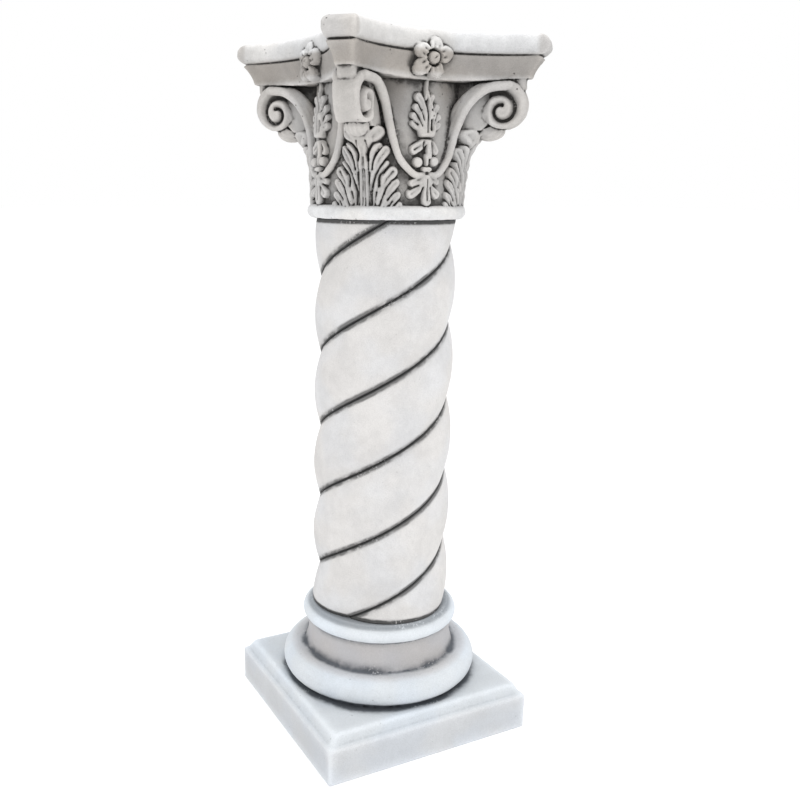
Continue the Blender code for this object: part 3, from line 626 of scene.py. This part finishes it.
def flower_face(across, up):
    """How far out the flower's face stands, by place across a side and height from its centre."""
    face = np.full(np.broadcast(across, up).shape, 70.0, np.float32)
    for turn_deg, length in ((17, 25.5), (76, 21.5), (154, 24), (214, 25.5), (290, 20.5)):
        turn = math.radians(turn_deg)
        along = across * math.cos(turn) + up * math.sin(turn)
        aside = -across * math.sin(turn) + up * math.cos(turn)
        middle = 0.56 * length
        span = ((along - middle) / (0.46 * length)) ** 2 + (aside / 9.0) ** 2
        dome = 93.5 + 10.0 * np.sqrt(np.clip(1 - span, 0, 1)) - 2.8 * np.exp(-(span / 0.22))
        ray = np.cos(math.pi * aside / (0.9 + 0.085 * np.clip(along, 0, None)) / 1.6)
        dome = dome + 1.5 * ray * np.clip((0.8 * length - along) / 8, 0, 1)
        face = np.maximum(face, np.where(span < 1, dome, 70.0))
    from_centre = np.hypot(across, up)
    boss = 96.5 + 9.0 * np.sqrt(np.clip(1 - (from_centre / 6.6) ** 2, 0, 1))
    slit = np.exp(-(((across * 0.6 - up * 0.8) / 0.9) ** 2)) * np.clip(1 - from_centre / 5, 0, 1)
    face = np.where(from_centre < 9.0, np.minimum(face, 93.5), face)
    return np.where(from_centre < 6.6, boss - 4.0 * slit, face)


def map_values(values, u_place, v_place):
    """Values of a flat map at places given in its grid steps, blended between its points."""
    i = np.clip(u_place.astype(np.int32), 0, values.shape[0] - 2)
    j = np.clip(v_place.astype(np.int32), 0, values.shape[1] - 2)
    a = np.clip(u_place - i, 0, 1)
    b = np.clip(v_place - j, 0, 1)
    low = values[i, j] * (1 - a) + values[i + 1, j] * a
    return low * (1 - b) + (values[i, j + 1] * (1 - a) + values[i + 1, j + 1] * a) * b


def smooth_route(points, steps=3):
    """More points along a smooth curve through the given ones."""
    route = []
    padded = [points[0], *points, points[-1]]
    for a, b, c, d in zip(padded, padded[1:], padded[2:], padded[3:]):
        a, b, c, d = (np.array(point, float) for point in (a, b, c, d))
        for t in np.arange(steps) / steps:
            bend = (2 * a - 5 * b + 4 * c - d) * t ** 2 + (3 * b - a - 3 * c + d) * t ** 3
            route.append(0.5 * (2 * b + (c - a) * t + bend))
    return route + [np.array(points[-1], float)]


def join_rod(field, grid, start, end, radius, soft):
    """Fillets a round-ended rod between two points into the field, in place."""
    around = []
    for axis, low, high in zip(grid, np.minimum(start, end), np.maximum(start, end)):
        margin = (high - low) / 2 + radius + soft + 4
        inside = np.flatnonzero(np.abs(axis.ravel() - (low + high) / 2) < margin)
        if not len(inside):
            return
        around.append(slice(inside[0], inside[-1] + 1))
    x, y, z = grid[0][around[0]], grid[1][:, around[1]], grid[2][:, :, around[2]]
    way = end - start
    share = (x - start[0]) * way[0] + (y - start[1]) * way[1] + (z - start[2]) * way[2]
    share = np.clip(share / way.dot(way), 0, 1)
    gap_x, gap_y, gap_z = (c - s - share * w for c, s, w in zip((x, y, z), start, way))
    rod = np.sqrt(gap_x ** 2 + gap_y ** 2 + gap_z ** 2) - radius
    field[tuple(around)] = round_min(field[tuple(around)], rod, soft)


def profile(place, places, values):
    return np.interp(place, places, values).astype(np.float32)


def from_oval(places, centre, halves):
    """How far out points are from an oval's centre, where 1 is its skin."""
    return np.sqrt(sum(((p - c) / half) ** 2 for p, c, half in zip(places, centre, halves)))


capital_low, capital_high = (corner * 1000 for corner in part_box("capital"))
capital_step = 1.0
astragal_tube = 7.7
astragal_reach = 92.6
abacus_height = 43.0
side_sag = 4.3
bell_foot_z = capital_low.z + 2 * astragal_tube
abacus_foot_z = capital_high.z - abacus_height
horn_rises = (-6, 0, 4, 9, 14, 18, 20.4, 21.0, 22.2,
              23.0, 26, 28, 31, 35, 38, 40.5, 42, 43.5)
horn_reaches = (120, 120.6, 121.8, 124.3, 127.6, 131, 133, 130, 130,
                133.5, 137, 138.6, 139.4, 139, 138, 136, 133.5, 130)
horn_widths = (19, 19, 20, 22, 25, 28, 30, 29, 29,
               31, 33, 34.5, 35, 35, 34, 33, 31, 29)
side_middles = (88, 89, 89.6, 90.6, 92, 93, 93.4, 90.5, 90.5,
                93.6, 95.6, 96.4, 96.8, 96.6, 96, 94.6, 93, 90)
scroll_reach = 133.0
scroll_radius = 25.0
scroll_half_width = 13.6
scroll_splay = 0.17
scroll_z = abacus_foot_z - 26.8
eye_reach = 131.5
eye_z = scroll_z - 6.6
spiral_start = 18.2
spiral_decay = 0.185
leaf_tip_reach = 117.5
leaf_tip_z = bell_foot_z + 81
leaf_tip_halves = (12.5, 17.5, 11.5)
lug_reach = 145
lug_z = scroll_z + 21.5
flower_z = capital_high.z - 28.1

grid = quarter_grid(capital_high.x + 1, capital_low.z, capital_high.z, capital_step)
x, y, z = grid
from_axis = np.hypot(x, y)
corner_turn = np.arctan2(x + y, x - y)
outward = (x - y) / math.sqrt(2)
sideways = (x + y) / math.sqrt(2)

map_step = 0.5
map_foot = -14.0
map_top = 150.0
map_radius = 86.0
quarter_arc = map_radius * math.pi / 4
map_u, map_v = np.meshgrid(
    np.arange(-quarter_arc - 1, quarter_arc + 1, map_step, dtype=np.float32),
    np.arange(map_foot, map_top, map_step, dtype=np.float32), indexing="ij")
side_u = np.where(map_u < 0, map_u + quarter_arc, map_u - quarter_arc)
relief_map = np.maximum(leaf_relief(map_u, map_v), garland_relief(side_u, map_v)).astype(np.float32)
slope_map = np.sqrt(1 + sum(g ** 2 for g in np.gradient(relief_map, map_step)))
u_place, v_place = np.broadcast_arrays((map_radius * corner_turn - map_u[0, 0]) / map_step,
                                       (z - bell_foot_z - map_foot) / map_step)
relief = map_values(relief_map, u_place, v_place)
slope = map_values(slope_map, u_place, v_place)
bell_reach = profile(z, (bell_foot_z, abacus_foot_z), (83.5, 81.0))
bell = np.maximum((from_axis - bell_reach - relief) / slope, z - abacus_foot_z - 20)
bell = np.maximum(bell, capital_low.z - z)
astragal = moulding(from_axis, z, astragal_reach, astragal_tube, capital_low.z + astragal_tube)
field = round_min(bell, astragal, 0.6)

from_middle = np.minimum(x, -y)
low_share = np.clip(1 - (z - abacus_foot_z) / 21, 0, 1.6)
rise = z - abacus_foot_z + side_sag * low_share * np.clip(1 - (from_middle / 107) ** 2, 0, 1)
horn_reach = profile(rise, horn_rises, horn_reaches)
horn_half = horn_reach - profile(rise, horn_rises, horn_widths) / math.sqrt(2)
hollow = horn_reach - profile(rise, horn_rises, side_middles)
curve = (horn_half ** 2 + hollow ** 2) / (2 * hollow)
curve_centre = horn_reach - hollow + curve
front_side = curve - np.hypot(x, curve_centre + y)
right_side = curve - np.hypot(y, curve_centre - x)
horn_front = outward - (horn_reach + horn_half) / math.sqrt(2)
abacus = round_max(round_max(front_side, right_side, 3.0), horn_front, 3.0)
abacus = round_max(abacus, np.abs(rise - 0.5 * abacus_height) - 0.5 * abacus_height, 0.8)
field = round_min(field, abacus, 0.8)

eye_out = outward - eye_reach
eye_up = z - eye_z
from_eye = np.hypot(eye_out, eye_up)
clockwise = np.arctan2(eye_out, eye_up)
spiral_gap = np.full(from_eye.shape, 1e9, np.float32)
for lap in (-1, 0, 1):
    wound = np.clip(clockwise + 2 * math.pi * lap, math.radians(-88), math.radians(366))
    slip = (clockwise + 2 * math.pi * lap - wound) * from_eye
    gap = np.hypot(from_eye - spiral_start * np.exp(-spiral_decay * wound), slip)
    spiral_gap = np.minimum(spiral_gap, gap)
from_scroll = np.hypot(outward - scroll_reach, z - scroll_z)
groove_half = profile(from_eye, (4, 12, 19), (1.9, 3.1, 4.3))
scroll_half = scroll_half_width + scroll_splay * np.clip(158 - outward, 0, 60)
cheek = scroll_half - 9.0 * np.exp(-((spiral_gap / groove_half) ** 2))
cheek = cheek - 2.0 * np.clip((from_scroll - 20.0) / 5.0, 0, 1) ** 2
behind = np.clip((eye_reach - 11 - outward) / 5, 0, 1) * np.clip((scroll_z + 13 - z) / 4, 0, 1)
cheek = cheek - 3.5 * behind
scroll = round_max(from_scroll - scroll_radius, (np.abs(sideways) - cheek) * 0.7, 1.2)
web_low = scroll_z + profile(outward, (75, 100, 124), (-42, -38, -14))
web_heights = (scroll_z - 10, scroll_z + 8, scroll_z + 18, abacus_foot_z)
web_end = profile(z, web_heights, (126, 130, 150, 156))
web = np.maximum(np.abs(sideways) - 7.6, np.maximum(outward - web_end, web_low - z))
web = np.maximum(web, np.maximum(z - abacus_foot_z - 4, 60 - outward))
flank_top = scroll_z + profile(outward, (80, 94, 108, 119), (-31, -7, 9, 17))
flank_low = scroll_z + profile(outward, (85, 110, 120), (-26, -27, -18))
flank = np.maximum(np.abs(sideways) - scroll_half + 6.5, np.maximum(outward - 118, flank_low - z))
flank = round_max(flank, np.maximum(z - flank_top, 70 - outward), 3.0)
web = round_min(web, flank, 2.0)
lug = np.sqrt(np.maximum(np.abs(sideways) - 5.5, 0) ** 2
              + np.maximum(np.abs(outward - lug_reach) - 6, 0) ** 2
              + np.maximum(np.abs(z - lug_z) - 3, 0) ** 2) - 4.5
tip_gap = from_oval((sideways, outward, z), (0, leaf_tip_reach, leaf_tip_z), leaf_tip_halves)
leaf_tip = (tip_gap - 1) * leaf_tip_halves[2] + 0.3 * np.cos(1.35 * sideways)
pit_halves = (5, 7, 4.5)
pit_gap = from_oval((np.abs(sideways), outward, z), (11, 113, leaf_tip_z + 6), pit_halves)
leaf_tip = round_max(leaf_tip, (1 - pit_gap) * pit_halves[2], 1.0)
field = round_min(field, leaf_tip, 2.5)
field = round_min(field, round_min(scroll, web, 0.8), 0.5)
field = round_min(field, lug, 1.8).astype(np.float32)

ribbon_turns = (-1, 3, 8, 14, 21, 26, 29, 31.5, 35, 39)
ribbon_reaches = (84.5, 86.5, 87, 87, 87, 88, 92, 101, 119, 140)
ribbon_rises = (35, 32.5, 32, 38, 51, 72, 90, 108, 123, 126)
ribbon_depths = (0, 5, 10)
for side in (-1, 1):
    for depth in ribbon_depths:
        route = []
        for turn_deg, reach_out, up in zip(ribbon_turns, ribbon_reaches, ribbon_rises):
            turn = -math.pi / 4 + side * (math.pi / 4 - math.radians(turn_deg))
            reach_out = max(reach_out - depth, 80)
            route.append((reach_out * math.cos(turn), reach_out * math.sin(turn), bell_foot_z + up))
        route = smooth_route(route, 4)
        for i, (start, end) in enumerate(zip(route, route[1:])):
            thick = np.interp(i / len(route), (0, 0.15, 0.45, 0.67, 1), (2.2, 3.2, 4.0, 4.8, 4.8))
            join_rod(field, grid, start, end, thick, 0.5)

for across, out in ((x, -y), (y, x)):
    face_map = flower_face(across + 2.0, z - flower_z)
    grade = np.gradient(np.squeeze(face_map), capital_step)
    steep = np.sqrt(1 + grade[0] ** 2 + grade[1] ** 2).reshape(face_map.shape)
    bounds = np.maximum(np.hypot(across, z - flower_z) - 30, 80 - out)
    flower = np.maximum((out - face_map) / steep, bounds)
    field = round_min(field, flower, 0.4)

field = np.maximum(field, np.maximum(z - capital_high.z, capital_low.z - z))
field = four_quarters(field.astype(np.float32))
wear = 0.28 * rough_field(field.shape, 7, 21) + 0.24 * rough_field(field.shape, 2.5, 22)
field += wear * np.clip((capital_high.z - 0.5 - z) / 3, 0, 1)
reach = (x.shape[0] - 0.5) * capital_step
capital_origin = np.array([-reach, -reach, z[0, 0, 0]])


def capital_grime_and_shade(x, y, z):
    """Darkest on the slab's lower band and on the bell beside the ribbons, less on the horn ends.
    The veil is partly dirt and partly painted shade under the slab, and beside the ribbons it
    is painted shadow.
    """
    low, high = bell_foot_z, capital_high.z
    # A veil over the bell and a darker one over the slab's lower band: partly dirt, partly painted shade
    # under the slab.
    heights = (low - 4, low + 3, high - 44, high - 41, high - 22, high - 18)
    band = np.interp(z, heights, (0, 0.47, 0.47, 0.82, 0.82, 0.04))
    off_centre = np.minimum(np.abs(x), np.abs(y))
    # Painted shadow on the bell beside the ribbons, under the slab.
    recess_shade = np.clip((off_centre - 12) / 16, 0, 1) * np.clip((94 - np.hypot(x, y)) / 5, 0, 1)
    recess_shade *= np.clip((z - high + 100) / 40, 0, 1) * np.clip((high - 42 - z) / 2, 0, 1)
    horn_end = np.clip(((np.abs(x) + np.abs(y)) / math.sqrt(2) - 166) / 10, 0, 0.5)
    return np.maximum(band + 0.38 * recess_shade, horn_end)


capital_faces = 190_000
capital = carved_piece(
    "capital_casting", field, capital_origin, capital_step, capital_faces, *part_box("capital"),
    capital_grime_and_shade)
capital.data.materials.append(stone_material(
    "capital stone",
    {"Stone": (0.635, 0.635, 0.635), "Wash": (0.024, 0.022, 0.02), "Veil": (0.47, 0.43, 0.39)},
    {"Wash Amount": 0.97, "Recess Wash And Shade": 0.9, "Spread": -0.03, "Mottle": 0.9, "Pits": 1.0, "Unrest": 1.0}))
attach(capital, "root")
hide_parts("capital")


# Floor and light
# A pale studio sweep lit by the room, a large soft lamp overhead and one in front.

floor_mesh = bpy.data.meshes.new("studio_floor")
floor_mesh.from_pydata([(-30, -30, 0), (30, -30, 0), (30, 30, 0), (-30, 30, 0)], [], [(0, 1, 2, 3)])
floor = bpy.data.objects.new("studio_floor", floor_mesh)
bpy.context.scene.collection.objects.link(floor)
floor_paint = bpy.data.materials.new("studio floor")
floor_paint.use_nodes = True
floor_shader = floor_paint.node_tree.nodes["Principled BSDF"]
floor_shader.inputs["Base Color"].default_value = (0.99, 0.99, 0.99, 1.0)
floor_shader.inputs["Roughness"].default_value = 0.9
floor_shader.inputs["Emission Color"].default_value = (1.0, 1.0, 1.0, 1.0)
floor_shader.inputs["Emission Strength"].default_value = 0.1
floor_mesh.materials.append(floor_paint)

world = bpy.data.worlds.new("studio")
world.use_nodes = True
room_light = world.node_tree.nodes["Background"]
room_light.inputs["Color"].default_value = (1.0, 1.0, 1.0, 1.0)
room_light.inputs["Strength"].default_value = 1.0
bpy.context.scene.world = world


def soft_lamp(name, place, aim, size, power):
    lamp = bpy.data.lights.new(name, "AREA")
    lamp.shape = "SQUARE"
    lamp.size = size
    lamp.energy = power
    holder = bpy.data.objects.new(name, lamp)
    holder.location = place
    holder.rotation_euler = (Vector(aim) - Vector(place)).to_track_quat("-Z", "Y").to_euler()
    bpy.context.scene.collection.objects.link(holder)


soft_lamp("overhead lamp", (0.0, -0.4, 3.0), (0.0, 0.0, 0.5), 2.0, 38)
soft_lamp("front lamp", (-0.9, -2.8, 1.8), (0.0, 0.0, 0.45), 1.4, 3.5)
bpy.context.scene.view_settings.view_transform = "Standard"


# Camera
# It stands where the photograph was taken, worked out from the plinth's and the slab's corners.

focal_pixels = 902.35
centre_pixels = (354.47, 436.99)
picture_pixels = 800
camera_place = (-0.53295, -0.954, 0.671)
camera_azimuth_deg = -117.37
camera_elevation_deg = 15.35
camera_lean_deg = 0.55
camera = bpy.data.cameras.new("photo camera")
camera.sensor_width = 36.0
camera.lens = camera.sensor_width * focal_pixels / picture_pixels
camera.shift_x = (picture_pixels / 2 - centre_pixels[0]) / picture_pixels
camera.shift_y = (centre_pixels[1] - picture_pixels / 2) / picture_pixels
viewer = bpy.data.objects.new("photo camera", camera)
turn = Matrix.Rotation(math.radians(camera_azimuth_deg + 90), 4, "Z")
tilt = Matrix.Rotation(math.radians(90 - camera_elevation_deg), 4, "X")
lean = Matrix.Rotation(math.radians(camera_lean_deg), 4, "Z")
viewer.matrix_world = Matrix.Translation(camera_place) @ turn @ tilt @ lean
bpy.context.scene.collection.objects.link(viewer)
bpy.context.scene.camera = viewer

shown = [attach(piece, "root") for piece in (base, shaft, capital)]
